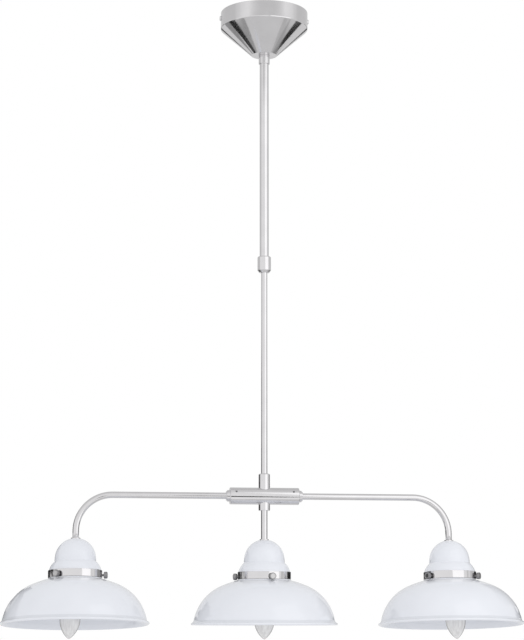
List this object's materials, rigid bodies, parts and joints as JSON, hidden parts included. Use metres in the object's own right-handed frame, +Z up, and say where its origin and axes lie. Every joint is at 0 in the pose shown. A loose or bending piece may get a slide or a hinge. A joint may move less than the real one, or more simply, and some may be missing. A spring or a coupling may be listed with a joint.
{
  "type": "linear island pendant",
  "caption": "Linear island pendant: white domed shades on curved arms and a drop, hung from a conical ceiling canopy on a telescopic chrome rod.",
  "frame": {"origin": "middle of the ceiling plane, at the bracket's ceiling face", "axes": "+Z up to the ceiling, +X along the bar with the lights, -Y towards the front of the lamp"},
  "size_m": [0.894, 0.2652, 1.1054],
  "materials": {
    "chrome": "polished",
    "zinc_steel": "zinc plated",
    "terminal_plastic": "moulded",
    "nylon": "moulded",
    "white_enamel": "gloss enamel",
    "opal_glass": "gloss opal",
    "holder_plastic": "moulded",
    "brass": "plain",
    "lamp_cap_brass": "nickel plated",
    "clear_glass": "clear",
    "filament_glass": "clear"
  },
  "bodies": {
    "ceiling_part": {"ceiling_bracket": "zinc_steel", "canopy": "chrome", "canopy_side_screws": "chrome", "terminal_block": "terminal_plastic", "rod_nipple": "zinc_steel", "rod_locknut": "zinc_steel", "ferrule": "chrome", "outer_tube": "chrome", "clutch_collet": "nylon"},
    "clutch_collar": {"clutch_collar": "chrome"},
    "drop_frame": {"inner_tube": "chrome", "stop_ring": "zinc_steel", "hub": "chrome", "rod_collar": "chrome", "drop_collar": "chrome", "bush_left": "chrome", "bush_right": "chrome", "grub_screws": "zinc_steel", "drop_tube": "chrome", "centre_washer": "chrome", "centre_cap": "white_enamel", "centre_cap_nut": "zinc_steel", "centre_band": "chrome", "centre_shade": "opal_glass", "centre_lampholder": "holder_plastic", "centre_contact_sleeve": "brass"},
    "left_light": {"arm_left": "chrome", "left_washer": "chrome", "left_cap": "white_enamel", "left_cap_nut": "zinc_steel", "left_band": "chrome", "left_shade": "opal_glass", "left_lampholder": "holder_plastic", "left_contact_sleeve": "brass"},
    "right_light": {"arm_right": "chrome", "right_washer": "chrome", "right_cap": "white_enamel", "right_cap_nut": "zinc_steel", "right_band": "chrome", "right_shade": "opal_glass", "right_lampholder": "holder_plastic", "right_contact_sleeve": "brass"},
    "left_lamp": {"left_bulb_base": "lamp_cap_brass", "left_bulb_glass": "clear_glass", "left_bulb_filament": "filament_glass"},
    "left_thumbscrew_1": {"left_thumbscrew_1": "chrome"},
    "left_thumbscrew_2": {"left_thumbscrew_2": "chrome"},
    "left_thumbscrew_3": {"left_thumbscrew_3": "chrome"},
    "centre_lamp": {"centre_bulb_base": "lamp_cap_brass", "centre_bulb_glass": "clear_glass", "centre_bulb_filament": "filament_glass"},
    "centre_thumbscrew_1": {"centre_thumbscrew_1": "chrome"},
    "centre_thumbscrew_2": {"centre_thumbscrew_2": "chrome"},
    "centre_thumbscrew_3": {"centre_thumbscrew_3": "chrome"},
    "right_lamp": {"right_bulb_base": "lamp_cap_brass", "right_bulb_glass": "clear_glass", "right_bulb_filament": "filament_glass"},
    "right_thumbscrew_1": {"right_thumbscrew_1": "chrome"},
    "right_thumbscrew_2": {"right_thumbscrew_2": "chrome"},
    "right_thumbscrew_3": {"right_thumbscrew_3": "chrome"}
  },
  "joints": [
    {"name": "clutch_turn", "type": "hinge", "parent": "ceiling_part", "child": "clutch_collar", "pos_m": [0, 0, -0.4576], "axis": [0, 0, 1], "range_deg": [0, 360]},
    {"name": "rod_slide", "type": "slide", "parent": "ceiling_part", "child": "drop_frame", "axis": [0, 0, 1], "range_m": [0, 0.3]},
    {"name": "left_swivel", "type": "hinge", "parent": "drop_frame", "child": "left_light", "pos_m": [0, 0, -0.8624], "axis": [1, 0, 0], "range_deg": [-25.9, 34.1]},
    {"name": "right_swivel", "type": "hinge", "parent": "drop_frame", "child": "right_light", "pos_m": [0, 0, -0.8624], "axis": [1, 0, 0], "range_deg": [-26.4, 33.6]},
    {"name": "left_lamp_unscrew", "type": "slide", "parent": "left_light", "child": "left_lamp", "axis": [-0.061, -0.0714, -0.9956], "range_m": [0, 0.035]},
    {"name": "left_thumbscrew_1_out", "type": "slide", "parent": "left_light", "child": "left_thumbscrew_1", "axis": [-0.6428, -0.7641, 0.0548], "range_m": [0, 0.003]},
    {"name": "left_thumbscrew_2_out", "type": "slide", "parent": "left_light", "child": "left_thumbscrew_2", "axis": [0.9848, -0.1732, 0.0124], "range_m": [0, 0.003]},
    {"name": "left_thumbscrew_3_out", "type": "slide", "parent": "left_light", "child": "left_thumbscrew_3", "axis": [-0.342, 0.9373, -0.0672], "range_m": [0, 0.003]},
    {"name": "centre_lamp_unscrew", "type": "slide", "parent": "drop_frame", "child": "centre_lamp", "axis": [0, 0, -1], "range_m": [0, 0.035]},
    {"name": "centre_thumbscrew_1_out", "type": "slide", "parent": "drop_frame", "child": "centre_thumbscrew_1", "axis": [0.1444, -0.9895, 0], "range_m": [0, 0.003]},
    {"name": "centre_thumbscrew_2_out", "type": "slide", "parent": "drop_frame", "child": "centre_thumbscrew_2", "axis": [0.7848, 0.6198, 0], "range_m": [0, 0.003]},
    {"name": "centre_thumbscrew_3_out", "type": "slide", "parent": "drop_frame", "child": "centre_thumbscrew_3", "axis": [-0.9291, 0.3697, 0], "range_m": [0, 0.003]},
    {"name": "right_lamp_unscrew", "type": "slide", "parent": "right_light", "child": "right_lamp", "axis": [0.061, -0.0627, -0.9962], "range_m": [0, 0.035]},
    {"name": "right_thumbscrew_1_out", "type": "slide", "parent": "right_light", "child": "right_thumbscrew_1", "axis": [0.866, -0.499, 0.0314], "range_m": [0, 0.003]},
    {"name": "right_thumbscrew_2_out", "type": "slide", "parent": "right_light", "child": "right_thumbscrew_2", "axis": [0, 0.998, -0.0628], "range_m": [0, 0.003]},
    {"name": "right_thumbscrew_3_out", "type": "slide", "parent": "right_light", "child": "right_thumbscrew_3", "axis": [-0.866, -0.499, 0.0314], "range_m": [0, 0.003]}
  ]
}
